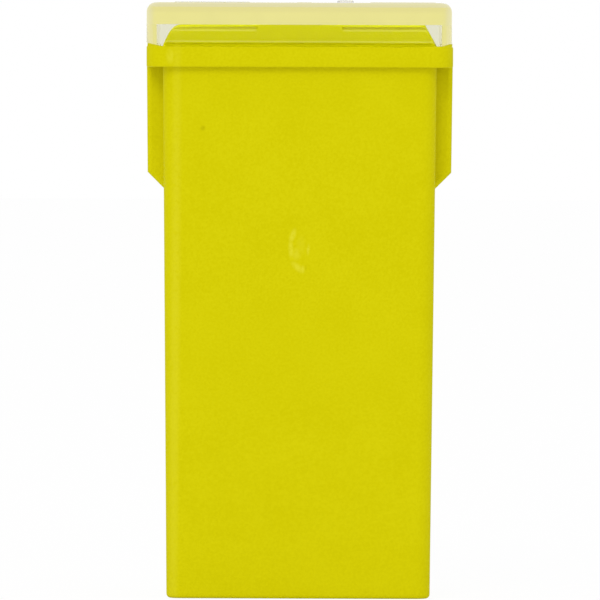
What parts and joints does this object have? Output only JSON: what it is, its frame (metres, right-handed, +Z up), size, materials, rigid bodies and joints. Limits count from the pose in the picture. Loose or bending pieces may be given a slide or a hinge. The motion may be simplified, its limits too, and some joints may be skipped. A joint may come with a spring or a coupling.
{
  "type": "cartridge fuse",
  "caption": "Plug-in cartridge fuse with a tall tapered moulded body, side ears, a rim and a clear cap over its folded fuse element.",
  "frame": {"origin": "centre of the foot of the body, on the surface it stands on, which is the bottom centre of the bounding box", "axes": "+Z up along the body from the foot to the clear cap, +X across the wide front, -Y out of the front face"},
  "size_m": [0.0186, 0.0122, 0.0362],
  "materials": {
    "yellow_nylon": "fine matte moulded nylon, bright yellow",
    "clear_plastic": "clear moulded plastic with a faint yellow tint",
    "plated_copper": "tin-plated copper alloy strip, satin",
    "tin": "dull tin",
    "spring_steel": "bright spring steel"
  },
  "bodies": {
    "root": {"housing": "yellow_nylon", "clear_cap": "clear_plastic", "fuse_element": "plated_copper", "tin_pellet": "tin", "left_spring_clip": "spring_steel", "right_spring_clip": "spring_steel"}
  },
  "joints": []
}
